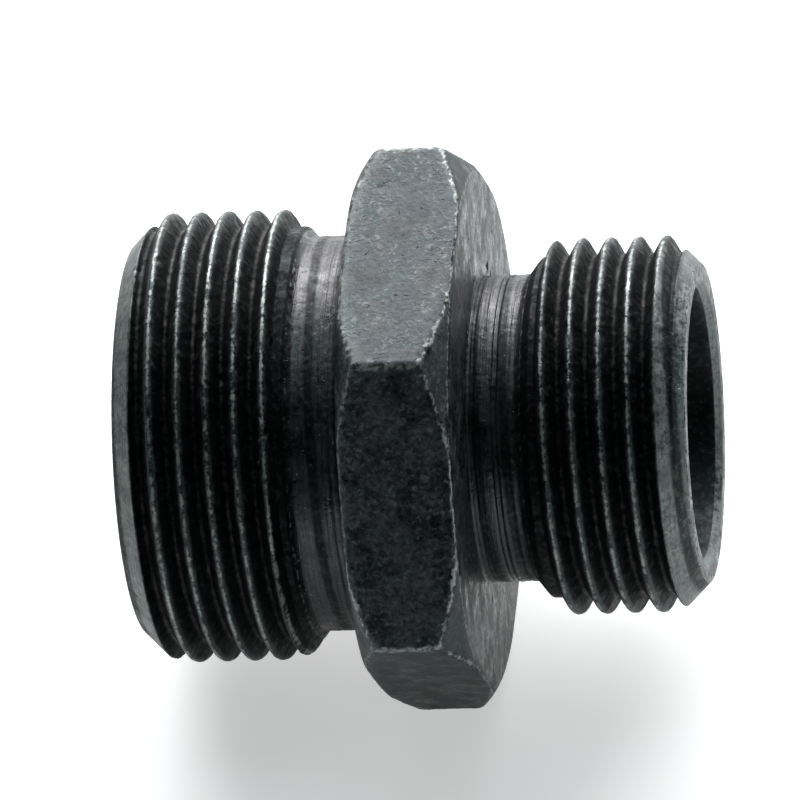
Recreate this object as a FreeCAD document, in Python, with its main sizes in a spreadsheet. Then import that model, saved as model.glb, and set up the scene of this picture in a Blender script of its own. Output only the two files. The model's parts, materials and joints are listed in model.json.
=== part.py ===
"""Hex nipple: a straight reducing body, male thread to male thread, turned from one piece of hexagon bar.

The frame: the origin is on the bore's axis in the middle of the hexagon, +X runs along the bore towards
the small thread, and two of the hexagon's flats face +Z and -Z, so the part rests on a flat with +Z up.
"""
import FreeCAD, Part
import os
import Sketcher

# A feature that changes the volume by less than this, in cubic millimetres, has missed the material.
LEAST_CHANGE = 1.0

# Driving dimensions in millimetres and degrees: alias, value, meaning.
DIMENSIONS = [
    ("hex_across_flats", 27.0, "wrench size of the hexagon"),
    ("hex_thickness", 6.0, "length of the hexagon along the bore"),
    ("hex_corner_radius", 0.4, "rounding of the bar's six long corners"),
    ("hex_chamfer_angle", 35.0, "slope of the turned corner chamfers, from the end face"),
    ("large_chamfer_circle", 27.8, "diameter where the chamfer starts on the large thread's side"),
    ("small_chamfer_circle", 27.4, "diameter where the chamfer starts on the small thread's side"),
    ("chamfer_overreach", 0.6, "how far the chamfer cut runs past the hexagon's corners"),
    ("large_thread", 24.0, "nominal diameter of the large thread"),
    ("small_thread", 20.0, "nominal diameter of the small thread"),
    ("crest_allowance", 0.15, "how far the 6g crests lie under the nominal diameter"),
    ("thread_pitch", 1.5, "pitch of both threads, right hand"),
    ("thread_depth", 0.92, "radial depth from crest to root"),
    ("thread_root_flat", 0.19, "width of the flat at the root"),
    ("thread_flank_angle", 30.0, "angle between a flank and the plane across the bore"),
    ("cutter_overreach", 0.1, "how far the thread cutter stands proud of the crests"),
    ("large_stem", 12.3, "large stem, from the hexagon to its end face"),
    ("small_stem", 11.6, "small stem, from the hexagon to its end face"),
    ("end_chamfer", 1.5, "45 degree chamfer at each thread's start"),
    ("large_neck", 20.9, "diameter of the relief neck behind the large thread"),
    ("small_neck", 16.2, "diameter of the relief neck behind the small thread"),
    ("large_neck_width", 2.85, "full-depth width of the large relief neck"),
    ("small_neck_width", 2.65, "full-depth width of the small relief neck"),
    ("neck_wall_angle", 38.0, "slope of the wall between neck and thread, from the plane across the bore"),
    ("large_tube_hole", 16.2, "socket for a 16 mm tube"),
    ("small_tube_hole", 12.2, "socket for a 12 mm tube"),
    ("large_socket_depth", 8.5, "from the end face to the 16 mm tube's stop"),
    ("small_socket_depth", 7.5, "from the end face to the 12 mm tube's stop"),
    ("large_cone_mouth", 18.3, "diameter of the 24 degree cone at the large end face"),
    ("small_cone_mouth", 14.3, "diameter of the 24 degree cone at the small end face"),
    ("cone_half_angle", 12.0, "half of the cone's included angle"),
    ("mouth_edge_break", 0.4, "45 degree edge break around each mouth"),
    ("large_passage", 12.0, "flow bore on the large side"),
    ("small_passage", 8.0, "flow bore on the small side"),
    ("passage_step", 1.5, "from the middle of the hexagon to the end of the large flow bore"),
    ("drill_point_angle", 59.0, "half of the drill's point angle, at the step between the bores"),
    ("large_cut_start", 15.89, "where the large thread's cut starts at +Y, past the end face"),
    ("large_cut_length", 11.3, "axial length of the large thread's cut, ending in the neck"),
    ("small_cut_start", 4.47, "where the small thread's cut starts at +Y, in the neck"),
    ("small_cut_length", 10.6, "axial length of the small thread's cut, ending past the end face"),
]

# Places worked out from them: name, expression. Those called x lie along the bore, those called r are radii.
STATIONS = [
    ("x_large_face", "-Sizes.hex_thickness / 2"),
    ("x_small_face", "Sizes.hex_thickness / 2"),
    ("x_large_end", "-Sizes.hex_thickness / 2 - Sizes.large_stem"),
    ("x_small_end", "Sizes.hex_thickness / 2 + Sizes.small_stem"),
    ("r_large_crest", "(Sizes.large_thread - Sizes.crest_allowance) / 2"),
    ("r_small_crest", "(Sizes.small_thread - Sizes.crest_allowance) / 2"),
    ("r_large_neck", "Sizes.large_neck / 2"),
    ("r_small_neck", "Sizes.small_neck / 2"),
    ("r_large_end", "r_large_crest - Sizes.end_chamfer"),
    ("r_small_end", "r_small_crest - Sizes.end_chamfer"),
    ("x_large_chamfer", "x_large_end + Sizes.end_chamfer"),
    ("x_small_chamfer", "x_small_end - Sizes.end_chamfer"),
    ("x_large_neck", "x_large_face - Sizes.large_neck_width"),
    ("x_small_neck", "x_small_face + Sizes.small_neck_width"),
    ("x_large_runout", "x_large_neck - (r_large_crest - r_large_neck) * tan(Sizes.neck_wall_angle)"),
    ("x_small_runout", "x_small_neck + (r_small_crest - r_small_neck) * tan(Sizes.neck_wall_angle)"),
    ("r_large_chamfer", "Sizes.large_chamfer_circle / 2"),
    ("r_small_chamfer", "Sizes.small_chamfer_circle / 2"),
    ("r_hex_corner", "Sizes.hex_across_flats / sqrt(3)"),
    ("r_beyond_hex", "r_hex_corner + Sizes.chamfer_overreach"),
    ("x_large_bite", "x_large_face"
                     " + (r_beyond_hex - r_large_chamfer) * tan(Sizes.hex_chamfer_angle)"),
    ("x_small_bite", "x_small_face"
                     " - (r_beyond_hex - r_small_chamfer) * tan(Sizes.hex_chamfer_angle)"),
    ("r_large_mouth", "Sizes.large_cone_mouth / 2"),
    ("r_small_mouth", "Sizes.small_cone_mouth / 2"),
    ("x_large_break", "x_large_end + Sizes.mouth_edge_break"),
    ("x_small_break", "x_small_end - Sizes.mouth_edge_break"),
    ("x_large_past_end", "x_large_end - Sizes.mouth_edge_break"),
    ("x_small_past_end", "x_small_end + Sizes.mouth_edge_break"),
    ("r_large_past_end", "r_large_mouth + Sizes.mouth_edge_break * 2"),
    ("r_small_past_end", "r_small_mouth + Sizes.mouth_edge_break * 2"),
    ("r_large_socket", "Sizes.large_tube_hole / 2"),
    ("r_small_socket", "Sizes.small_tube_hole / 2"),
    ("x_large_cone_foot", "x_large_break"
                          " + (r_large_mouth - r_large_socket) / tan(Sizes.cone_half_angle)"),
    ("x_small_cone_foot", "x_small_break"
                          " - (r_small_mouth - r_small_socket) / tan(Sizes.cone_half_angle)"),
    ("x_large_stop", "x_large_end + Sizes.large_socket_depth"),
    ("x_small_stop", "x_small_end - Sizes.small_socket_depth"),
    ("r_large_passage", "Sizes.large_passage / 2"),
    ("r_small_passage", "Sizes.small_passage / 2"),
    ("x_passage_step", "-Sizes.passage_step"),
    ("x_drill_point", "x_passage_step"
                      " + (r_large_passage - r_small_passage) / tan(Sizes.drill_point_angle)"),
    ("x_large_cut", "-Sizes.large_cut_start"),
    ("x_small_cut", "Sizes.small_cut_start"),
    ("half_root", "Sizes.thread_root_flat / 2"),
    ("half_mouth_of_cut", "half_root"
                          " + (Sizes.thread_depth + Sizes.cutter_overreach) * tan(Sizes.thread_flank_angle)"),
    ("r_large_root", "r_large_crest - Sizes.thread_depth"),
    ("r_small_root", "r_small_crest - Sizes.thread_depth"),
    ("r_large_cut_top", "r_large_crest + Sizes.cutter_overreach"),
    ("r_small_cut_top", "r_small_crest + Sizes.cutter_overreach"),
]
for stem in ("large", "small"):
    STATIONS += [
        (f"x_{stem}_root_low", f"x_{stem}_cut - half_root"),
        (f"x_{stem}_root_high", f"x_{stem}_cut + half_root"),
        (f"x_{stem}_mouth_low", f"x_{stem}_cut - half_mouth_of_cut"),
        (f"x_{stem}_mouth_high", f"x_{stem}_cut + half_mouth_of_cut"),
    ]


def make_sheet(doc):
    """Write the driving dimensions in a spreadsheet, one alias each."""
    sheet = doc.addObject("Spreadsheet::Sheet", "Sizes")
    for row, (alias, value, meaning) in enumerate(DIMENSIONS, start=1):
        sheet.set(f"A{row}", meaning)
        sheet.set(f"B{row}", str(value))
        sheet.setAlias(f"B{row}", alias)
    doc.recompute()


def make_places(doc):
    """Work out every place along the bore and every radius from the sheet, one named value each."""
    places = doc.addObject("App::VarSet", "Places")
    for name, _ in STATIONS:
        places.addProperty("App::PropertyFloat", name, "Places")
    for name, expression in STATIONS:
        places.setExpression(name, expression)
    doc.recompute()
    return places


def origin_item(body, role):
    """The body's own origin plane or axis with this role."""
    return next(item for item in body.Origin.OriginFeatures if item.Role == role)


def new_sketch(body, name, plane):
    sketch = body.newObject("Sketcher::SketchObject", name)
    sketch.AttachmentSupport = [(origin_item(body, plane), "")]
    sketch.MapMode = "FlatFace"
    return sketch


def hold(sketch, places, kind, line, name):
    """Hold a line's first point at a named distance from the origin, or on the axis if name is None."""
    origin = (-1, 1)
    point = (line, 1)
    if name is None:
        sketch.addConstraint(Sketcher.Constraint("PointOnObject", line, 1, -1))
        return
    value = getattr(places, name)
    ends = origin + point if value > 0 else point + origin
    index = sketch.addConstraint(Sketcher.Constraint(kind, *ends, abs(value)))
    sign = "" if value > 0 else "-"
    sketch.setExpression(f"Constraints[{index}]", f"{sign}Places.{name}")


def profile_sketch(body, places, name, outlines):
    """Sketch closed outlines in the half plane of the bore's axis and +Y, from (x name, r name) corners."""
    sketch = new_sketch(body, name, "XY_Plane")
    for corners in outlines:
        spots = [
            FreeCAD.Vector(getattr(places, x_name), getattr(places, r_name) if r_name else 0, 0)
            for x_name, r_name in corners
        ]
        first = sketch.GeometryCount
        count = len(corners)
        for step in range(count):
            sketch.addGeometry(Part.LineSegment(spots[step], spots[(step + 1) % count]))
        for step in range(count):
            ends = (first + step, 2, first + (step + 1) % count, 1)
            sketch.addConstraint(Sketcher.Constraint("Coincident", *ends))
        for step, (x_name, r_name) in enumerate(corners):
            hold(sketch, places, "DistanceX", first + step, x_name)
            hold(sketch, places, "DistanceY", first + step, r_name)
    return sketch


def checked(doc, feature, grows, before):
    """Recompute, and stop if the feature did not add or remove material as it should."""
    doc.recompute()
    change = feature.Shape.Volume - before
    if (change > 0) != grows or abs(change) < LEAST_CHANGE:
        raise RuntimeError(f"{feature.Name} changed the volume by {change:.2f} mm3")
    return feature.Shape.Volume


def turn(doc, body, kind, name, sketch, volume):
    """Revolve a sketch once around the bore's axis, adding for a Revolution, cutting for a Groove."""
    feature = body.newObject(kind, name)
    feature.Profile = sketch
    feature.ReferenceAxis = (origin_item(body, "X_Axis"), [""])
    feature.Angle = 360
    return checked(doc, feature, kind == "PartDesign::Revolution", volume)


def make_hexagon(doc, body, places):
    """Pad the bar's hexagon evenly about the origin and round its six long corners."""
    sketch = new_sketch(body, "hex_outline", "YZ_Plane")
    bore = FreeCAD.Vector(0, 0, 1)
    circle = sketch.addGeometry(Part.Circle(FreeCAD.Vector(), bore, places.r_hex_corner), True)
    sketch.addConstraint(Sketcher.Constraint("Coincident", circle, 3, -1, 1))
    turned = FreeCAD.Rotation(bore, 60)
    corner = FreeCAD.Vector(places.r_hex_corner, 0, 0)
    sides = []
    for _ in range(6):
        following = turned.multVec(corner)
        sides.append(sketch.addGeometry(Part.LineSegment(corner, following)))
        corner = following
    for side, following in zip(sides, sides[1:] + sides[:1]):
        sketch.addConstraint(Sketcher.Constraint("Coincident", side, 2, following, 1))
        sketch.addConstraint(Sketcher.Constraint("PointOnObject", side, 1, circle))
    for side in sides[1:]:
        sketch.addConstraint(Sketcher.Constraint("Equal", sides[0], side))
    sketch.addConstraint(Sketcher.Constraint("PointOnObject", sides[0], 1, -1))
    radius = sketch.addConstraint(Sketcher.Constraint("Radius", circle, places.r_hex_corner))
    sketch.setExpression(f"Constraints[{radius}]", "Places.r_hex_corner")
    pad = body.newObject("PartDesign::Pad", "hex_bar")
    pad.Profile = sketch
    pad.Midplane = True
    pad.setExpression("Length", "Sizes.hex_thickness")
    doc.recompute()
    along_bore = [
        f"Edge{number}"
        for number, edge in enumerate(pad.Shape.Edges, start=1)
        if abs(edge.tangentAt(edge.FirstParameter).x) > 0.99
    ]
    rounding = body.newObject("PartDesign::Fillet", "hex_corners")
    rounding.Base = (pad, along_bore)
    rounding.setExpression("Radius", "Sizes.hex_corner_radius")
    doc.recompute()
    return rounding.Shape.Volume


def cut_thread(doc, body, places, stem, volume):
    """Cut a right-hand V groove around one stem, with its ends clear of the material."""
    corners = [
        (f"x_{stem}_root_low", f"r_{stem}_root"),
        (f"x_{stem}_root_high", f"r_{stem}_root"),
        (f"x_{stem}_mouth_high", f"r_{stem}_cut_top"),
        (f"x_{stem}_mouth_low", f"r_{stem}_cut_top"),
    ]
    groove = body.newObject("PartDesign::SubtractiveHelix", f"{stem}_thread_cut")
    groove.Profile = profile_sketch(body, places, f"{stem}_thread_form", [corners])
    groove.ReferenceAxis = (origin_item(body, "X_Axis"), [""])
    groove.Mode = "pitch-height-angle"
    groove.setExpression("Pitch", "Sizes.thread_pitch")
    groove.setExpression("Height", f"Sizes.{stem}_cut_length")
    groove.LeftHanded = False
    groove.Reversed = False
    return checked(doc, groove, False, volume)


def make_nipple(doc, places):
    body = doc.addObject("PartDesign::Body", "nipple_body")
    body.Label = "nipple_body"
    volume = make_hexagon(doc, body, places)

    chamfers = profile_sketch(body, places, "hex_chamfer_form", [
        [
            (f"x_{stem}_face", f"r_{stem}_chamfer"), (f"x_{stem}_face", "r_beyond_hex"),
            (f"x_{stem}_bite", "r_beyond_hex"),
        ]
        for stem in ("large", "small")
    ])
    volume = turn(doc, body, "PartDesign::Groove", "hex_chamfers", chamfers, volume)

    stems = profile_sketch(body, places, "stem_profile", [
        [
            ("x_large_end", None), ("x_large_end", "r_large_end"), ("x_large_chamfer", "r_large_crest"),
            ("x_large_runout", "r_large_crest"), ("x_large_neck", "r_large_neck"),
            ("x_passage_step", "r_large_neck"), ("x_passage_step", "r_small_neck"),
            ("x_small_neck", "r_small_neck"), ("x_small_runout", "r_small_crest"),
            ("x_small_chamfer", "r_small_crest"), ("x_small_end", "r_small_end"), ("x_small_end", None),
        ],
    ])
    volume = turn(doc, body, "PartDesign::Revolution", "stems", stems, volume)

    for stem in ("large", "small"):
        volume = cut_thread(doc, body, places, stem, volume)

    passage = profile_sketch(body, places, "passage_profile", [
        [
            ("x_large_past_end", None), ("x_large_past_end", "r_large_past_end"),
            ("x_large_break", "r_large_mouth"), ("x_large_cone_foot", "r_large_socket"),
            ("x_large_stop", "r_large_socket"), ("x_large_stop", "r_large_passage"),
            ("x_passage_step", "r_large_passage"), ("x_drill_point", "r_small_passage"),
            ("x_small_stop", "r_small_passage"), ("x_small_stop", "r_small_socket"),
            ("x_small_cone_foot", "r_small_socket"), ("x_small_break", "r_small_mouth"),
            ("x_small_past_end", "r_small_past_end"), ("x_small_past_end", None),
        ],
    ])
    turn(doc, body, "PartDesign::Groove", "passage", passage, volume)
    return body


def check_document(doc, bodies):
    """Stop if anything failed to compute, or if a body is not one valid solid."""
    for item in doc.Objects:
        if "Invalid" in item.State or "Error" in item.State:
            raise RuntimeError(f"{item.Label} failed: {item.State}")
    for body in bodies:
        shape = body.Shape
        if shape.isNull() or not shape.isValid() or len(shape.Solids) != 1:
            raise RuntimeError(f"{body.Label} is not one valid solid")
        print(body.Label, f"{shape.Volume:.1f} mm3", shape.BoundBox)


doc = FreeCAD.newDocument("hex_nipple")
make_sheet(doc)
places = make_places(doc)
nipple = make_nipple(doc, places)
nipple.Placement = FreeCAD.Placement()
doc.recompute()
check_document(doc, [nipple])
os.makedirs("parts", exist_ok=True)
nipple.Shape.exportStep("parts/nipple_body.step")
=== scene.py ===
"""The looks of the hex nipple: one machined steel body with worn black oxide, on a pale floor.

All shapes are worked out in millimetres in the CAD frame and turned into metres at the end. The bore lies
along X, the hexagon about the origin, and two of its flats face +Z and -Z. Angles run from +Y to +Z.
"""
import json
import math

import bpy
import numpy as np
from mathutils import Matrix, Vector


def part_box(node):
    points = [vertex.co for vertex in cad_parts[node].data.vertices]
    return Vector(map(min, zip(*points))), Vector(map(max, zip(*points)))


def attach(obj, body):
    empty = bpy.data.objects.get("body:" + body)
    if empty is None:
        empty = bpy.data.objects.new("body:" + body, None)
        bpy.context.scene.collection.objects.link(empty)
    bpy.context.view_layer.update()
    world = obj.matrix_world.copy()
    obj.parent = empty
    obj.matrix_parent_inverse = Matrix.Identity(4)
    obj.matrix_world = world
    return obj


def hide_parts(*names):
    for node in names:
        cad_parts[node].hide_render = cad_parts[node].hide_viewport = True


MM = 0.001
NODE = "nipple_body"


# ---------------------------------------------------------------- sizes, in millimetres and degrees

def read_sizes(frame):
    """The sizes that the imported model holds: the ends of its box and the mounts' places and radii."""
    low, high = (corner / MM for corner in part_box(NODE))
    mounts = {mount["name"]: mount for mount in frame["record"]["mounts"]}

    def radius(name):
        return mounts[name]["dims"]["r_mm"]

    return {
        "large_end": low.x,
        "small_end": high.x,
        "flat": mounts["wrench_flat_top"]["pos_m"][2] / MM,
        "large_face": mounts["large_shoulder"]["pos_m"][0] / MM,
        "small_face": mounts["small_shoulder"]["pos_m"][0] / MM,
        "large_thread": radius("large_thread"),
        "small_thread": radius("small_thread"),
        "large_passage": radius("large_flow_bore"),
        "small_passage": radius("flow_bore"),
        "large_socket": radius("large_tube_socket"),
        "small_socket": radius("small_tube_socket"),
    }


# The rest of the shape, as the CAD source has it.
CORNER_ROUND = 0.4
CHAMFER_SLOPE = math.radians(35)
LARGE_CHAMFER_CIRCLE, SMALL_CHAMFER_CIRCLE = 13.9, 13.7
PITCH = 1.5
THREAD_DEPTH = 0.92
HALF_ROOT = 0.095
FLANK = math.radians(30)
CREST_UNDER_NOMINAL = 0.075
END_CHAMFER = 1.5
NECK_WALL = math.radians(38)
STEMS = {
    "large": {"side": -1, "neck": 10.45, "neck_width": 2.85, "crest_at_y": -0.141, "seed": 200},
    "small": {"side": 1, "neck": 8.1, "neck_width": 2.65, "crest_at_y": 0.723, "seed": 300},
}
LARGE_SOCKET_DEPTH, SMALL_SOCKET_DEPTH = 8.5, 7.5
LARGE_MOUTH, SMALL_MOUTH = 9.15, 7.15
EDGE_BREAK = 0.4
PASSAGE_STEP = -1.5
DRILL_POINT = math.radians(59)
CONE_SLOPE = math.radians(12)

# How far real edges and corners are from sharp.
HEX_EDGE_SOFT = 0.33
NECK_FILLET = 0.15

# The mesh: steps around the bore, how much closer they lie at the hexagon's corners, and steps along it.
AROUND = 720
CORNER_CROWDING = 0.3
HEX_BASE = 11.2
THREAD_STEP = 0.06
NECK_STEP = 0.07
FACE_STEP = 0.09
BORE_STEP = 0.3
BORE_SHOULDER_STEP = 0.8
MOUTH_STEP = 0.08
FLAT_STEP, FLAT_EDGE_STEP = 0.09, 0.06
# The hexagon's bands of finer steps, beside its large edge, its small edge and its faces' rims.
LARGE_EDGE_BAND, SMALL_EDGE_BAND, RIM_BAND = 1.3, 1.4, 0.8


# ---------------------------------------------------------------- small helpers

# Large odd numbers that scatter the cells of the noise, and the range they are scattered over.
HASH_X, HASH_Y, HASH_Z, HASH_SEED, HASH_MIX = 73856093, 19349663, 83492791, 2654435761, 1274126177
HASH_RANGE = 0xFFFFFF


def lattice(cells, seed):
    """A repeatable random number from -1 to 1 for each whole-number cell."""
    x, y, z = np.moveaxis(cells, -1, 0)
    n = (x * HASH_X) ^ (y * HASH_Y) ^ (z * HASH_Z) ^ (seed * HASH_SEED)
    n = (n ^ (n >> 13)) * HASH_MIX
    n = (n ^ (n >> 16)) & HASH_RANGE
    return n / (HASH_RANGE >> 1) - 1.0


def noise(points, cell, seed):
    """Smooth random values from about -1 to 1 at points, with features about one cell wide."""
    scaled = points / cell
    base = np.floor(scaled).astype(np.int64)
    part = scaled - base
    part = part * part * (3 - 2 * part)
    total = 0.0
    for corner in np.ndindex(2, 2, 2):
        weight = np.prod(np.where(corner, part, 1 - part), axis=-1)
        total = total + weight * lattice(base + np.array(corner), seed)
    return total


def rough(points, cell, seed, layers=3):
    """Layers of noise, each half as wide and half as strong as the one before."""
    return sum(noise(points, cell / 2**layer, seed + layer) / 2**layer for layer in range(layers))


def soft_min(a, b, width):
    """The smaller of a and b, with the corner between them rounded over a width."""
    near = np.clip(0.5 + 0.5 * (b - a) / width, 0, 1)
    return b * (1 - near) + a * near - width * near * (1 - near)


def soft_max(a, b, width):
    return -soft_min(-a, -b, width)


def ramp(value, start, end):
    """0 before start, 1 after end, smooth between them. It runs backwards where end is the smaller."""
    part = np.clip((value - start) / (end - start), 0, 1)
    return part * part * (3 - 2 * part)


def bump(value, middle, width):
    return np.exp(-(((value - middle) / width) ** 2))


def steps_between(start, end, step):
    """Evenly spaced values from start up to but not including end."""
    count = max(2, int(round(abs(end - start) / step)))
    return np.linspace(start, end, count, endpoint=False)


def place(x, r, angle):
    """Points in space from places along the bore, radii and angles about it."""
    x, r, angle = np.broadcast_arrays(x, r, angle)
    return np.stack([x, r * np.cos(angle), r * np.sin(angle)], axis=-1)


def angle_gap(angle, middle_degrees):
    """How far each angle lies from a middle, in degrees, from -180 to 180."""
    return (np.degrees(angle) - middle_degrees + 180) % 360 - 180


# ---------------------------------------------------------------- marks at chosen places

# The places of marks that the photo shows were found through the fitted camera and rounded.
# The others are made up in the same style.
# Dents on a stem: place along the bore, angle, depth, half width along, half width around.
DENTS = {
    "large": [
        (-14.3, 81, 0.22, 0.16, 0.3),
        (-13.2, 81, 0.20, 0.13, 0.25),
        (-9.4, 117, 0.14, 0.12, 0.3),
        (-7.2, 128, 0.28, 0.10, 0.25),
        (-7.1, 134, 0.20, 0.16, 0.45),
        (-7.3, 140, 0.28, 0.10, 0.3),
        (-12.0, 205, 0.16, 0.14, 0.3),
        (-10.4, 12, 0.20, 0.13, 0.3),
        (-13.6, 318, 0.18, 0.15, 0.4),
    ],
    "small": [
        (13.3, 62, 0.12, 0.2, 0.4),
        (14.2, 118, 0.10, 0.2, 0.3),
        (9.8, 40, 0.16, 0.12, 0.3),
        (11.4, 250, 0.18, 0.12, 0.35),
        (8.4, 330, 0.16, 0.13, 0.3),
    ],
}
# Deeper tool lines on a neck: distance from the hexagon's face, depth, half width.
TOOL_LINES = {
    "large": [(0.45, 0.035, 0.05), (0.8, 0.04, 0.06), (1.15, 0.035, 0.05), (1.5, 0.025, 0.05)],
    "small": [(1.32, 0.09, 0.06), (1.58, 0.09, 0.07), (0.4, 0.03, 0.06), (2.2, 0.03, 0.08)],
}
# Pits in the hexagon's small face: radius, angle, depth, half width.
FACE_PITS = [
    (11.1, 69, 0.05, 0.10), (9.9, 61, 0.06, 0.12), (9.5, 53, 0.05, 0.08), (8.75, 32, 0.35, 0.32),
    (8.6, 24, 0.2, 0.2), (9.3, 44, 0.06, 0.10), (10.6, -89, 0.05, 0.10), (9.0, -137, 0.12, 0.14),
    (9.4, -128, 0.06, 0.10), (12.0, 150, 0.05, 0.12), (9.6, -30, 0.08, 0.12),
]
# Shallow dimples in the flats: place along the bore, angle, depth, half width.
FLAT_DIMPLES = [
    (-1.3, 70, 0.05, 0.22), (-0.1, 70, 0.04, 0.18), (1.3, 79, 0.02, 0.35), (0.4, 138, 0.03, 0.2),
    (-0.6, 14, 0.04, 0.25), (1.0, 262, 0.04, 0.22), (-1.2, 325, 0.05, 0.2),
]


# ---------------------------------------------------------------- the surface, strip by strip

# A plain number in these formulas is millimetres beside a length, and a share from 0 to 1 beside a mark.

MARKS = ("wear", "scuff", "groove", "root", "turned")


class Strip:
    """A band of the surface right around the bore: x and r for each angle and column, and its painted marks.

    wear is bare bright metal, scuff is oxide rubbed to grey, groove is thick black oxide that nothing rubs
    together with painted shade, near black, in the thread grooves, on the run-out wall, in the bore and in
    the faces' pits and specks, root is the rusty bottom of a thread, and turned is a surface with a lathe's
    tool marks.
    """

    def __init__(self, x, r, angle, **marks):
        shape = np.broadcast_shapes(np.shape(x), np.shape(r), np.shape(angle))
        self.x = np.broadcast_to(x, shape).astype(float)
        self.r = np.broadcast_to(r, shape).astype(float)
        self.marks = {
            name: np.broadcast_to(marks.get(name, 0.0), shape).astype(float)
            for name in MARKS
        }

    def flipped(self):
        """The same band with its columns in the other order."""
        self.x, self.r = self.x[:, ::-1], self.r[:, ::-1]
        self.marks = {name: values[:, ::-1] for name, values in self.marks.items()}
        return self


def distance_from_crest(x, angle, crest_at_y):
    """Distance along the bore from the nearest crest of an endless right-hand thread."""
    turns = (x - crest_at_y) / PITCH - angle / (2 * math.pi)
    return PITCH * np.abs((turns + 0.5) % 1.0 - 0.5)


# How far a stem's corners are rounded over: by the run-out wall, on crests, and in roots.
WALL_FOOT_SOFT, WALL_TOP_SOFT = 0.2, 0.12
CREST_SOFT, ROOT_SOFT, GROOVE_END_SOFT, RUN_OUT_SOFT = 0.16, 0.12, 0.08, 0.05
CHAMFER_SOFT = 0.1
# The lip that the thread's last turn leaves on the wall: its height over the neck, and its half width.
BURR_HEIGHT, BURR_WIDTH = 0.32, 0.07
# A tool line's raised lip, as a share of the line's depth.
LIP = 0.4


def stem_dents(name, x, angle, crest):
    """How deep a stem is dented at each point, and how far each point is on a dent's raised rim."""
    dented, rims = 0.0, 0.0
    for dent_x, dent_angle, depth, along, around in DENTS[name]:
        gap = np.radians(angle_gap(angle, dent_angle)) * crest
        dent = bump(x, dent_x, along) * bump(gap, 0, around)
        rim = bump(x, dent_x, 1.6 * along) * bump(gap, 0, 1.4 * around) * (1 - dent)
        dented = dented + depth * dent
        rims = np.maximum(rims, rim)
    return dented, rims


def tool_lines(name, points, from_face, seed):
    """The height of a neck's deeper tool lines, each with a lip on the side away from the hexagon."""
    wander = 0.03 * noise(points, 3.0, seed + 2)
    height = 0.0
    for line_at, depth, width in TOOL_LINES[name]:
        height = height - depth * bump(from_face, line_at + wander, width)
        height = height + LIP * depth * bump(from_face, line_at + wander + 2 * width, width)
    return height


def stem_strip(sizes, angle, name):
    """One stem from its end face to the hexagon: end chamfer, thread, run-out wall and relief neck."""
    stem = STEMS[name]
    side, neck, seed = stem["side"], stem["neck"], stem["seed"]
    end, face = sizes[f"{name}_end"], sizes[f"{name}_face"]
    crest = sizes[f"{name}_thread"] - CREST_UNDER_NOMINAL
    root_radius = crest - THREAD_DEPTH
    neck_edge = face + side * stem["neck_width"]
    thread_places = steps_between(end, neck_edge, THREAD_STEP)
    x = np.concatenate([thread_places, steps_between(neck_edge, face, NECK_STEP)])[None, :]
    from_end, from_face = np.abs(x - end), np.abs(x - face)
    points = place(x, crest, angle)

    wall = neck + (from_face - stem["neck_width"]) / math.tan(NECK_WALL)
    blank = soft_min(soft_max(neck, wall, WALL_FOOT_SOFT), crest, WALL_TOP_SOFT)
    from_crest = distance_from_crest(x, angle, stem["crest_at_y"])
    half_crest = PITCH / 2 - HALF_ROOT - THREAD_DEPTH * math.tan(FLANK)
    uneven = 0.025 * noise(points, 0.4, seed) + 0.02 * noise(points, 0.15, seed + 5)
    drop = soft_max((from_crest - half_crest + uneven) / math.tan(FLANK), 0.0, CREST_SOFT)
    drop = soft_min(drop, THREAD_DEPTH, ROOT_SOFT)
    r = soft_max(blank - drop, soft_min(blank, root_radius, GROOVE_END_SOFT), RUN_OUT_SOFT)
    chamfer = crest - END_CHAMFER + from_end
    cut = ramp(r - chamfer, -0.06, 0.06)
    r = soft_min(r, chamfer, CHAMFER_SOFT)

    in_thread = ramp(blank, root_radius, root_radius + 0.5) * (1 - cut)
    patchy = rough(points, 0.7, seed + 11)
    wear = ramp(from_crest + 1.2 * uneven, 0.13, 0.04) * in_thread * np.clip(0.80 + 0.45 * patchy, 0, 1)
    wear = np.maximum(wear, 0.6 * bump(from_end, 0, 0.1))
    burr = bump(wall + 1.5 * uneven, neck + BURR_HEIGHT, BURR_WIDTH) * np.clip(0.75 + patchy, 0, 1)
    wear = np.maximum(wear, 0.8 * burr)
    scuff = np.clip(cut * (0.75 + 0.4 * patchy), 0, 1)
    on_wall = ramp(wall, neck + 0.25, neck + 0.5)
    # Painted shade as well as thick oxide: the thread grooves and the run-out wall below the crests are
    # painted near black.
    groove = np.maximum(ramp(drop, 0.05, 0.25), ramp(blank, crest - 0.05, crest - 0.2)) * on_wall * (1 - cut)
    groove = np.maximum(groove, 0.8 * ramp(drop, 0.5, 0.8))
    full_thread = ramp(wall, crest - 0.3, crest) * ramp(from_end, 1.0, 1.6)
    root = bump(drop + 2 * uneven, THREAD_DEPTH, 0.09) * full_thread * np.clip(0.65 + 0.6 * patchy, 0, 1)
    r = r + 0.03 * noise(points, 0.2, seed + 61) * root
    on_neck = ramp(wall, neck + 0.35, neck + 0.15)

    dented, rims = stem_dents(name, x, angle, crest)
    wear = np.maximum(wear, 0.9 * rims * in_thread)
    fine_lines = 0.007 * noise(points * [1, 0.02, 0.02], 0.10, seed + 3)
    fine_lines = fine_lines + 0.003 * noise(points * [1, 0.05, 0.05], 0.3, seed + 4)
    r = r - dented + tool_lines(name, points, from_face, seed) + fine_lines * on_neck
    r = r + NECK_FILLET * ramp(from_face, NECK_FILLET, 0.0) ** 2
    grain = 0.012 * noise(points, 0.24, seed + 41) + 0.003 * noise(points, 0.1, seed + 31)
    return Strip(x, r + grain, angle, wear=wear, scuff=scuff, groove=groove, root=root, turned=on_neck)


SPECK_DEPTH = 0.04


def face_specks(points):
    """Dark specks, scattered in loose clusters: the painted shade of small pits."""
    return 0.85 * ramp(noise(points, 0.17, 601) + 0.25 * noise(points, 1.5, 602), 0.60, 0.78)


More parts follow.
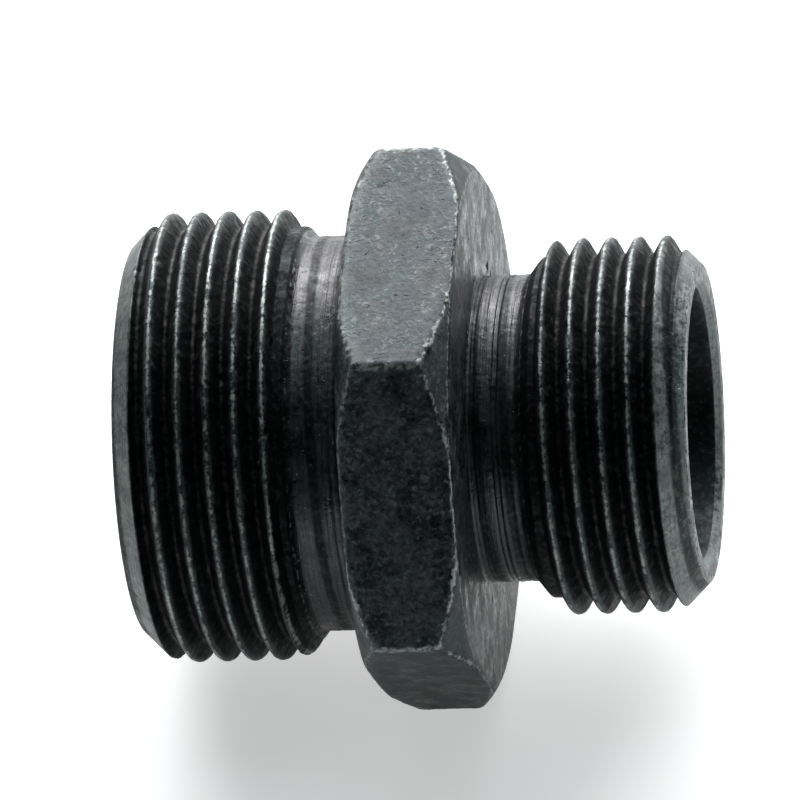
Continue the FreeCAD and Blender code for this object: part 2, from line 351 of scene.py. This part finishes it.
def face_strip(x, start, end, step, angle, seed, pits=()):
    """A flat ring across the bore, turned on a lathe. Its pits are sunk towards the hexagon's middle."""
    r = steps_between(start, end, step)[None, :]
    points = place(x, r, angle)
    inward = -math.copysign(1, x)
    rings = 0.006 * noise(np.stack([r, 0 * r, 0 * r], axis=-1), 0.15, seed)
    x = x + rings + 0.004 * noise(points, 0.25, seed + 1)
    # The specks and pits are sunk in and also painted near black: painted shade in them.
    groove = face_specks(points)
    x = x + inward * SPECK_DEPTH * groove
    for pit_r, pit_angle, depth, width in pits:
        around = np.radians(angle_gap(angle, pit_angle)) * r
        ragged = 1 + 0.5 * noise(points, 0.12, seed + 2)
        pit = ramp(np.hypot(r - pit_r, around) * ragged, width, 0.3 * width)
        x = x + inward * depth * pit
        groove = np.maximum(groove, pit)
    return Strip(x, r, angle, groove=groove, turned=0.25)


def hexagon_gap(sizes, r, angle):
    """Signed distance from the bar's hexagon with rounded corners, measured across the bore."""
    flat = sizes["flat"]
    off = (angle % math.radians(60)) - math.radians(30)
    out = r * np.cos(off)
    along = np.abs(r * np.sin(off))
    inner = flat - CORNER_ROUND
    half_side = inner * math.tan(math.radians(30))
    past = np.hypot(out - inner, along - half_side) - CORNER_ROUND
    return np.where(along > half_side, past, out - flat)


def hex_gaps(sizes, x, r, angle):
    """Signed distances from the surfaces that bound the hexagon: the bar, two chamfer cones, two faces."""
    sin, cos = math.sin(CHAMFER_SLOPE), math.cos(CHAMFER_SLOPE)
    return [
        hexagon_gap(sizes, r, angle),
        (r - LARGE_CHAMFER_CIRCLE) * sin - (x - sizes["large_face"]) * cos,
        (r - SMALL_CHAMFER_CIRCLE) * sin - (sizes["small_face"] - x) * cos,
        sizes["large_face"] - x,
        x - sizes["small_face"],
    ]


def close_to(gap, width):
    """1 on a bounding surface, falling to 0 over a width beneath it."""
    return np.exp(-((np.minimum(gap, 0) / width) ** 2))


# The search along each ray: how far it looks, and how often it halves the stretch.
FARTHEST_REACH = 8.0
HALVINGS = 26
# The half widths of the worn lines: on the hexagon's edges, on the small face's rim and on its corners.
SMALL_EDGE_WEAR, LARGE_EDGE_WEAR, RIM_WEAR, CORNER_WEAR = 0.11, 0.10, 0.08, 0.21


def hexagon_rays(sizes):
    """The directions of rays that sweep from the large face, over a flat, to the small face."""
    left, right, top = sizes["large_face"], sizes["small_face"], sizes["flat"]
    rise = np.concatenate([
        steps_between(HEX_BASE, top - RIM_BAND, FLAT_STEP),
        steps_between(top - RIM_BAND, top, FLAT_EDGE_STEP),
    ])
    run = np.concatenate([
        steps_between(left, left + LARGE_EDGE_BAND, FLAT_EDGE_STEP),
        steps_between(left + LARGE_EDGE_BAND, right - SMALL_EDGE_BAND, FLAT_STEP),
        steps_between(right - SMALL_EDGE_BAND, right, FLAT_EDGE_STEP),
    ])
    aim_x = np.concatenate([0 * rise + left, run, 0 * rise + right])
    aim_r = np.concatenate([rise, 0 * run + top, top + HEX_BASE - rise])
    way_x, way_r = aim_x, aim_r - HEX_BASE
    reach = np.hypot(way_x, way_r)
    return (way_x / reach)[None, :], (way_r / reach)[None, :]


def ray_lengths(sizes, way_x, way_r, angle):
    """How far each ray goes before it leaves the hexagon, whose edges are rounded over."""
    near = np.zeros(np.broadcast_shapes(way_x.shape, angle.shape))
    far = near + FARTHEST_REACH
    for _ in range(HALVINGS):
        middle = (near + far) / 2
        bar, *others = hex_gaps(sizes, middle * way_x, HEX_BASE + middle * way_r, angle)
        gap = bar
        for other in others:
            gap = soft_max(gap, other, HEX_EDGE_SOFT)
        near = np.where(gap < 0, middle, near)
        far = np.where(gap < 0, far, middle)
    return near


def hexagon_strip(sizes, angle):
    """The hexagon from its large face, over flats and chamfers, to its small face, from HEX_BASE outwards.

    Each point is where the rounded solid ends along a ray, which leaves the hexagon's middle at HEX_BASE.
    """
    way_x, way_r = hexagon_rays(sizes)
    length = ray_lengths(sizes, way_x, way_r, angle)
    x, r = length * way_x, HEX_BASE + length * way_r
    points = place(x, r, angle)
    bar, large_cone, small_cone, large_face, small_face = hex_gaps(sizes, x, r, angle)
    ragged = noise(points, 0.30, 501) + 0.7 * noise(points, 0.13, 502)
    wander = 0.06 * noise(points, 0.6, 505) + 0.10 * noise(points, 0.24, 506)
    wander = wander + 0.06 * noise(points, 0.12, 507)
    small_side, large_side = np.maximum(small_cone, small_face), np.maximum(large_cone, large_face)
    small_edge = bump(bar - small_side, wander, SMALL_EDGE_WEAR)
    large_edge = bump(bar - large_side, wander, LARGE_EDGE_WEAR)
    face_circle = bump(small_cone - small_face, 0.4 * wander, RIM_WEAR)
    face_circle = face_circle * ramp(bar, -0.1, -0.3) * close_to(small_face, 0.2)
    from_corner = np.radians((np.degrees(angle) + 30) % 60 - 30) * r
    corner = bump(from_corner, 2 * wander, CORNER_WEAR) * close_to(bar, 0.2)
    edge = np.maximum.reduce([small_edge, 0.85 * large_edge, 0.95 * corner])
    wear = np.clip(edge * (0.95 + 0.45 * ragged), 0, 1)
    wear = np.maximum(wear, 0.8 * face_circle)
    scuff = 0.4 * np.maximum(close_to(bar, 0.3) * close_to(large_side, 0.45), corner)

    lift = 0.035 * edge * ragged + 0.012 * noise(points, 1.6, 503) + 0.005 * noise(points, 0.22, 504)
    for dimple_x, dimple_angle, depth, width in FLAT_DIMPLES:
        around = np.radians(angle_gap(angle, dimple_angle)) * r
        lift = lift - depth * bump(np.hypot(x - dimple_x, around), 0, width)
    on_faces = np.maximum(close_to(large_face, 0.06), close_to(small_face, 0.06))
    # Painted shade: specks on the hexagon's faces are painted near black, with no pit sunk under them.
    specks = on_faces * face_specks(points)
    marks = {"wear": wear, "scuff": scuff, "groove": specks, "turned": 0.25 * on_faces}
    return Strip(x + lift * way_x, r + lift * way_r, angle, **marks)


def bore_strips(sizes, angle):
    """The way through, from the small mouth to the large one."""
    small, large = sizes["small_end"], sizes["large_end"]
    small_foot = small - EDGE_BREAK - (SMALL_MOUTH - sizes["small_socket"]) / math.tan(CONE_SLOPE)
    large_foot = large + EDGE_BREAK + (LARGE_MOUTH - sizes["large_socket"]) / math.tan(CONE_SLOPE)
    drill = PASSAGE_STEP + (sizes["large_passage"] - sizes["small_passage"]) / math.tan(DRILL_POINT)
    corners = [
        (small, SMALL_MOUTH + EDGE_BREAK, MOUTH_STEP),
        (small - EDGE_BREAK, SMALL_MOUTH, BORE_STEP),
        (small_foot, sizes["small_socket"], BORE_STEP),
        (small - SMALL_SOCKET_DEPTH, sizes["small_socket"], BORE_STEP),
        (small - SMALL_SOCKET_DEPTH, sizes["small_passage"], BORE_SHOULDER_STEP),
        (drill, sizes["small_passage"], BORE_STEP),
        (PASSAGE_STEP, sizes["large_passage"], BORE_SHOULDER_STEP),
        (large + LARGE_SOCKET_DEPTH, sizes["large_passage"], BORE_STEP),
        (large + LARGE_SOCKET_DEPTH, sizes["large_socket"], BORE_STEP),
        (large_foot, sizes["large_socket"], BORE_STEP),
        (large + EDGE_BREAK, LARGE_MOUTH, MOUTH_STEP),
        (large, LARGE_MOUTH + EDGE_BREAK, MOUTH_STEP),
    ]
    strips = []
    for (x0, r0, step), (x1, r1, _) in zip(corners, corners[1:]):
        count = max(2, int(round(math.hypot(x1 - x0, r1 - r0) / step)))
        part = np.linspace(0, 1, count, endpoint=False)[None, :]
        x, r = x0 + (x1 - x0) * part, r0 + (r1 - r0) * part
        points = place(x, r, angle)
        # Painted shade: the bore past its mouths is painted near black.
        marks = {"scuff": 0.8} if step == MOUTH_STEP else {"groove": 0.85}
        strips.append(Strip(x, r + 0.01 * noise(points, 0.5, 701), angle, **marks))
    return strips


def nipple_mesh(sizes):
    """The whole body as one closed mesh, with its painted marks."""
    steps = np.arange(AROUND) * 2 * math.pi / AROUND
    angle = (steps - CORNER_CROWDING * np.sin(6 * steps) / 6)[:, None]
    large_neck, small_neck = STEMS["large"]["neck"], STEMS["small"]["neck"]
    large_rim, small_rim = LARGE_MOUTH + EDGE_BREAK, SMALL_MOUTH + EDGE_BREAK
    large_out = sizes["large_thread"] - CREST_UNDER_NOMINAL - END_CHAMFER
    small_out = sizes["small_thread"] - CREST_UNDER_NOMINAL - END_CHAMFER
    strips = [
        face_strip(sizes["large_end"], large_rim, large_out, FACE_STEP, angle, 11),
        stem_strip(sizes, angle, "large"),
        face_strip(sizes["large_face"], large_neck + NECK_FILLET, HEX_BASE, FACE_STEP, angle, 12),
        hexagon_strip(sizes, angle),
        face_strip(sizes["small_face"], HEX_BASE, small_neck + NECK_FILLET, FACE_STEP, angle, 13, FACE_PITS),
        stem_strip(sizes, angle, "small").flipped(),
        face_strip(sizes["small_end"], small_out, small_rim, FACE_STEP, angle, 14),
        *bore_strips(sizes, angle),
    ]
    x = np.concatenate([strip.x for strip in strips], axis=1)
    r = np.concatenate([strip.r for strip in strips], axis=1)
    marks = {name: np.concatenate([strip.marks[name] for strip in strips], axis=1) for name in MARKS}
    return mesh_from_grid(place(x, r, angle), marks)


def mesh_from_grid(points, marks):
    """One mesh from a grid that closes on itself both ways, with a value of each mark at every vertex."""
    rows, columns = points.shape[:2]
    index = np.arange(rows * columns).reshape(rows, columns)
    after = np.roll(index, -1, axis=0)
    quads = np.stack([index, np.roll(index, -1, axis=1), np.roll(after, -1, axis=1), after], axis=-1)
    quads = quads.reshape(-1, 4)[:, ::-1]
    mesh = bpy.data.meshes.new("nipple")
    mesh.vertices.add(rows * columns)
    mesh.vertices.foreach_set("co", (points.reshape(-1, 3) * MM).astype(np.float32).ravel())
    mesh.loops.add(quads.size)
    mesh.loops.foreach_set("vertex_index", quads.astype(np.int32).ravel())
    mesh.polygons.add(len(quads))
    mesh.polygons.foreach_set("loop_start", np.arange(0, quads.size, 4, dtype=np.int32))
    mesh.polygons.foreach_set("use_smooth", np.ones(len(quads), dtype=bool))
    mesh.update(calc_edges=True)
    mesh.validate()
    for name, values in marks.items():
        layer = mesh.attributes.new(name, "FLOAT", "POINT")
        layer.data.foreach_set("value", values.astype(np.float32).ravel())
    return mesh


# ---------------------------------------------------------------- materials

class Nodes:
    """A short way to write the node tree of a material or a world."""

    def __init__(self, owner, shader_type):
        owner.use_nodes = True
        self.tree = owner.node_tree
        self.shader = next(n for n in self.tree.nodes if n.type == shader_type)

    def add(self, kind, **settings):
        node = self.tree.nodes.new(kind)
        for name, value in settings.items():
            setattr(node, name, value)
        return node

    def link(self, source, target):
        self.tree.links.new(source, target)

    def put(self, socket, value):
        """Link a socket's source, or set its plain value."""
        if isinstance(value, bpy.types.NodeSocket):
            self.link(value, socket)
        else:
            socket.default_value = value

    def math(self, operation, a, b=0.0, c=0.0, clamp=False):
        node = self.add("ShaderNodeMath", operation=operation, use_clamp=clamp)
        for socket, value in zip(node.inputs, (a, b, c)):
            self.put(socket, value)
        return node.outputs[0]

    def span(self, value, low, high, to_low=0.0, to_high=1.0):
        """A value's stretch from low to high, mapped on to another, and held at its ends."""
        node = self.add("ShaderNodeMapRange", clamp=True, interpolation_type="SMOOTHSTEP")
        for socket, part in zip(node.inputs, (value, low, high, to_low, to_high)):
            self.put(socket, part)
        return node.outputs[0]

    def blend(self, share, a, b):
        """Colour a turning into colour b."""
        node = self.add("ShaderNodeMix", data_type="RGBA")
        self.put(node.inputs[0], share)
        self.put(node.inputs[6], a)
        self.put(node.inputs[7], b)
        return node.outputs[2]

    def mark(self, name):
        return self.add("ShaderNodeAttribute", attribute_type="GEOMETRY", attribute_name=name).outputs["Fac"]

    def ring_place(self, where):
        """Coordinates that change along the bore and away from it, but hardly around it, as tool marks do."""
        parts = self.add("ShaderNodeSeparateXYZ")
        self.link(where, parts.inputs[0])
        x, y, z = parts.outputs
        radius = self.math("SQRT", self.math("ADD", self.math("MULTIPLY", y, y), self.math("MULTIPLY", z, z)))
        joined = self.add("ShaderNodeCombineXYZ")
        self.link(x, joined.inputs[0])
        self.link(radius, joined.inputs[1])
        self.link(self.math("MULTIPLY", self.math("ADD", y, z), 0.04), joined.inputs[2])
        return joined.outputs[0]

    def spots(self, where, per_mm, detail=3.0, roughness=0.6, distortion=0.0):
        """Cloudy noise from 0 to 1, with so many features in a millimetre."""
        node = self.add("ShaderNodeTexNoise")
        self.link(where, node.inputs["Vector"])
        node.inputs["Scale"].default_value = per_mm / MM
        node.inputs["Detail"].default_value = detail
        node.inputs["Roughness"].default_value = roughness
        node.inputs["Distortion"].default_value = distortion
        return node.outputs["Fac"]


# How strongly each state of the surface reflects, as linear colour.
OXIDE_DARK, OXIDE_LIGHT = (0.032, 0.040, 0.043, 1), (0.074, 0.082, 0.086, 1)
STAIN = (0.074, 0.064, 0.062, 1)
GRAIN_DARK, GRAIN_LIGHT = (0.022, 0.026, 0.029, 1), (0.165, 0.172, 0.175, 1)
TURNED, STREAK = (0.068, 0.064, 0.068, 1), (0.104, 0.096, 0.101, 1)
RUBBED = (0.225, 0.250, 0.240, 1)
PIT = (0.020, 0.018, 0.015, 1)
# Thick black oxide, and painted shade in the thread grooves, on the run-out wall, in the bore and in pits.
THICK_BLACK_AND_SHADE = (0.0065, 0.0085, 0.0085, 1)
ROOT_GREY, RUST = (0.042, 0.041, 0.039, 1), (0.044, 0.033, 0.029, 1)
BARE = (0.34, 0.36, 0.345, 1)
METAL_SHARE = 0.9
RELIEF_STRENGTH = 0.9
RELIEF_DEPTH = 0.03 * MM


def oxide_steel():
    """Worn black oxide over machined steel: dark and speckled, bare where it is rubbed, rusty in roots."""
    material = bpy.data.materials.new("worn_black_oxide")
    n = Nodes(material, "BSDF_PRINCIPLED")
    where = n.add("ShaderNodeTexCoord").outputs["Object"]
    marks = {name: n.mark(name) for name in MARKS}
    spots = {
        "cloud": n.spots(where, 0.7, 5.0, 0.62),
        "stain": n.spots(where, 0.42, 4.0, 0.6),
        "grain": n.spots(where, 3.6, 2.5, 0.65, 0.6),
        "speck": n.spots(where, 2.6, 2.0, 0.55, 0.4),
        "rings": n.spots(n.ring_place(where), 12.0, 2.0, 0.6),
    }
    pitted = n.span(spots["speck"], 0.32, 0.25)
    bare = bare_share(n, marks, spots)
    oxide = oxide_colour(n, marks, spots, pitted)
    n.link(n.blend(bare, oxide, BARE), n.shader.inputs["Base Color"])
    n.shader.inputs["Metallic"].default_value = METAL_SHARE
    n.link(dullness(n, marks, spots, bare), n.shader.inputs["Roughness"])
    n.link(fine_relief(n, marks, spots, pitted), n.shader.inputs["Normal"])
    return material


def bare_share(n, marks, spots):
    """Where the oxide is gone: worn edges with a grainy border, and a few sparkles on turned surfaces."""
    grain = n.math("MULTIPLY", n.math("SUBTRACT", spots["grain"], 0.5), 2.2)
    worn = n.span(n.math("ADD", marks["wear"], grain), 0.35, 1.10)
    sparkle = n.math("MULTIPLY", marks["turned"], n.span(spots["grain"], 0.64, 0.72))
    sparkle = n.math("MULTIPLY", sparkle, n.span(spots["cloud"], 0.48, 0.60, 0.0, 0.8))
    return n.math("MAXIMUM", worn, sparkle)


def oxide_colour(n, marks, spots, pitted):
    """The oxide's colour, from its even coat to what turning, rubbing, pits and rust make of it."""
    cloud, stain, grain, speck, rings = spots.values()
    oxide = n.blend(n.span(cloud, 0.38, 0.62), OXIDE_DARK, OXIDE_LIGHT)
    oxide = n.blend(n.span(stain, 0.50, 0.60, 0.0, 0.35), oxide, STAIN)
    oxide = n.blend(n.span(grain, 0.54, 0.36, 0.0, 0.75), oxide, GRAIN_DARK)
    oxide = n.blend(n.span(grain, 0.54, 0.70, 0.0, 0.60), oxide, GRAIN_LIGHT)
    oxide = n.blend(n.math("MULTIPLY", marks["turned"], 0.6), oxide, TURNED)
    streaks = n.math("MULTIPLY", marks["turned"], n.span(rings, 0.48, 0.66, 0.0, 0.7))
    oxide = n.blend(streaks, oxide, STREAK)
    uneven = n.math("ADD", n.math("MULTIPLY", grain, 1.5), n.math("ADD", rings, cloud))
    rubbed = n.math("MULTIPLY", marks["scuff"], n.span(uneven, 1.45, 2.05, 0.25, 1.0))
    oxide = n.blend(rubbed, oxide, RUBBED)
    oxide = n.blend(n.math("MULTIPLY", pitted, 0.75), oxide, PIT)
    # Thick black oxide, and painted shade: the thread grooves, the run-out wall, the bore and the pits are
    # painted near black.
    black = n.math("MULTIPLY", marks["groove"], n.span(speck, 0.50, 0.66, 1.0, 0.6))
    oxide = n.blend(black, oxide, THICK_BLACK_AND_SHADE)
    oxide = n.blend(n.math("MULTIPLY", marks["root"], n.span(grain, 0.44, 0.60)), oxide, ROOT_GREY)
    return n.blend(n.math("MULTIPLY", marks["root"], n.span(speck, 0.52, 0.62)), oxide, RUST)


def dullness(n, marks, spots, bare):
    """Roughness: cloudy, grainy, duller on thick oxide, painted shade, bare metal; glossier where turned."""
    dull = n.span(spots["cloud"], 0.34, 0.66, 0.37, 0.63)
    dull = n.math("ADD", dull, n.math("MULTIPLY", n.math("SUBTRACT", spots["grain"], 0.5), 0.7))
    dull = n.math("ADD", dull, n.math("MULTIPLY", n.math("MAXIMUM", marks["groove"], bare), 0.12))
    return n.math("SUBTRACT", dull, n.math("MULTIPLY", n.math("MINIMUM", marks["turned"], 0.25), 0.35))


def fine_relief(n, marks, spots, pitted):
    """The finest bumps: grain, coarser specks on thick oxide and painted shade, tool rings and pits."""
    groove, turned = marks["groove"], marks["turned"]
    fine = n.math("MULTIPLY", spots["grain"], n.math("SUBTRACT", 1.0, n.math("MULTIPLY", groove, 0.7)))
    fine = n.math("ADD", fine, n.math("MULTIPLY", groove, n.math("MULTIPLY", spots["speck"], 0.8)))
    height = n.math("ADD", fine, n.math("MULTIPLY", turned, n.math("MULTIPLY", spots["rings"], 1.2)))
    height = n.math("SUBTRACT", height, n.math("MULTIPLY", pitted, 0.8))
    relief = n.add("ShaderNodeBump")
    relief.inputs["Strength"].default_value = RELIEF_STRENGTH
    relief.inputs["Distance"].default_value = RELIEF_DEPTH
    n.link(height, relief.inputs["Height"])
    return relief.outputs["Normal"]


FLOOR_COLOUR = (0.85, 0.85, 0.85, 1)
FLOOR_ROUGHNESS = 0.9
# How strongly the floor glows on to the part, and how strongly the camera sees it glow.
FLOOR_GLOW, FLOOR_GLOW_SEEN = 0.24, 0.50
WHITE = (1.0, 1.0, 1.0, 1)


def pale_floor():
    """A white table with a glow of its own, which pales the part's shadow and lights the part little."""
    material = bpy.data.materials.new("pale_floor")
    n = Nodes(material, "BSDF_PRINCIPLED")
    n.shader.inputs["Base Color"].default_value = FLOOR_COLOUR
    n.shader.inputs["Roughness"].default_value = FLOOR_ROUGHNESS
    n.shader.inputs["Emission Color"].default_value = WHITE
    seen = n.add("ShaderNodeLightPath").outputs["Is Camera Ray"]
    n.link(n.span(seen, 0.0, 1.0, FLOOR_GLOW, FLOOR_GLOW_SEEN), n.shader.inputs["Emission Strength"])
    return material


# ---------------------------------------------------------------- scene

FLOOR_RADIUS = 0.5
FLOOR_SIDES = 128
LIGHT_DISTANCE = 0.6
PLAIN, COOL = (1.0, 1.0, 1.0), (0.80, 1.0, 0.98)
# Soft boxes: the way to each, its size in metres, its power in watts and its colour.
LIGHTS = {
    "back_light": ((0.05, 0.87, 0.50), (0.80, 0.42), 9.8, PLAIN),
    "top_light": ((0.0, 0.25, 1.0), (0.50, 0.45), 0.8, COOL),
    "left_fill": ((-1.0, -0.1, 0.35), (0.40, 0.40), 0.12, COOL),
    "right_fill": ((1.0, -0.1, 0.35), (0.40, 0.40), 0.20, COOL),
}
DIM_SURROUND = (0.0125, 0.0238, 0.0250, 1)
# The camera, fitted to the photograph: its lens, how far it stands off, and how far its axis misses
# the origin.
LENS = 495.6
SENSOR = 36.0
CLIP_START, CLIP_END = 0.01, 10.0
STAND_OFF, ASIDE, ABOVE = 582.37 * MM, 1.640 * MM, 1.614 * MM
CAMERA_RIGHT = Vector((0.9882, 0.0815, -0.1298))
CAMERA_BACK = Vector((0.1505, -0.6753, 0.7220))


def add_object(name, data):
    made = bpy.data.objects.new(name, data)
    bpy.context.scene.collection.objects.link(made)
    return made


def make_floor(height):
    """A round table top under the part, whose edge lies beyond every light."""
    turns = [2 * math.pi * side / FLOOR_SIDES for side in range(FLOOR_SIDES)]
    rim = [(FLOOR_RADIUS * math.cos(turn), FLOOR_RADIUS * math.sin(turn), height) for turn in turns]
    mesh = bpy.data.meshes.new("floor")
    mesh.from_pydata(rim, [], [list(range(FLOOR_SIDES))])
    mesh.materials.append(pale_floor())
    add_object("floor", mesh)


def make_light(name, way, size, power, colour):
    """A soft box that faces the part from a direction."""
    light = bpy.data.lights.new(name, "AREA")
    light.shape = "RECTANGLE"
    light.size, light.size_y = size
    light.energy = power
    light.color = colour
    way = Vector(way).normalized()
    turn = way.to_track_quat("Z", "Y").to_matrix().to_4x4()
    add_object(name, light).matrix_world = Matrix.Translation(way * LIGHT_DISTANCE) @ turn


def make_camera():
    """A long lens at the photograph's angle: in front of the part and above it, turned a little."""
    up = CAMERA_BACK.cross(CAMERA_RIGHT)
    camera = bpy.data.cameras.new("camera")
    camera.lens = LENS
    camera.sensor_width = SENSOR
    camera.clip_start = CLIP_START
    camera.clip_end = CLIP_END
    made = add_object("camera", camera)
    turn = Matrix((CAMERA_RIGHT, up, CAMERA_BACK)).transposed().to_4x4()
    place_of_lens = CAMERA_BACK * STAND_OFF - CAMERA_RIGHT * ASIDE + up * ABOVE
    made.matrix_world = Matrix.Translation(place_of_lens) @ turn
    bpy.context.scene.camera = made


def make_world():
    """A dim cool surround, which shows as plain white behind the table."""
    world = bpy.data.worlds.new("studio")
    n = Nodes(world, "BACKGROUND")
    seen = n.add("ShaderNodeLightPath").outputs["Is Camera Ray"]
    n.link(n.blend(seen, DIM_SURROUND, WHITE), n.shader.inputs["Color"])
    bpy.context.scene.world = world


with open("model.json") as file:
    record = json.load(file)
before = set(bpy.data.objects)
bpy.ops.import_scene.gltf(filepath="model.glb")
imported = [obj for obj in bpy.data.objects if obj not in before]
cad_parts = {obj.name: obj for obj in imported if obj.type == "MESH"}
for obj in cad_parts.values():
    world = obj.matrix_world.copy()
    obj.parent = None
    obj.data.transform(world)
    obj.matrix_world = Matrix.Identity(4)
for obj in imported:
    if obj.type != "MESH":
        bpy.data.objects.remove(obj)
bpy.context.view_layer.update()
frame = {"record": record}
sizes = read_sizes(frame)

nipple = add_object("nipple", nipple_mesh(sizes))
nipple.data.materials.append(oxide_steel())
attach(nipple, "root")
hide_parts(NODE)

make_floor(-sizes["flat"] * MM)
for light_name, settings in LIGHTS.items():
    make_light(light_name, *settings)
make_world()
make_camera()
bpy.context.scene.view_settings.view_transform = "Standard"
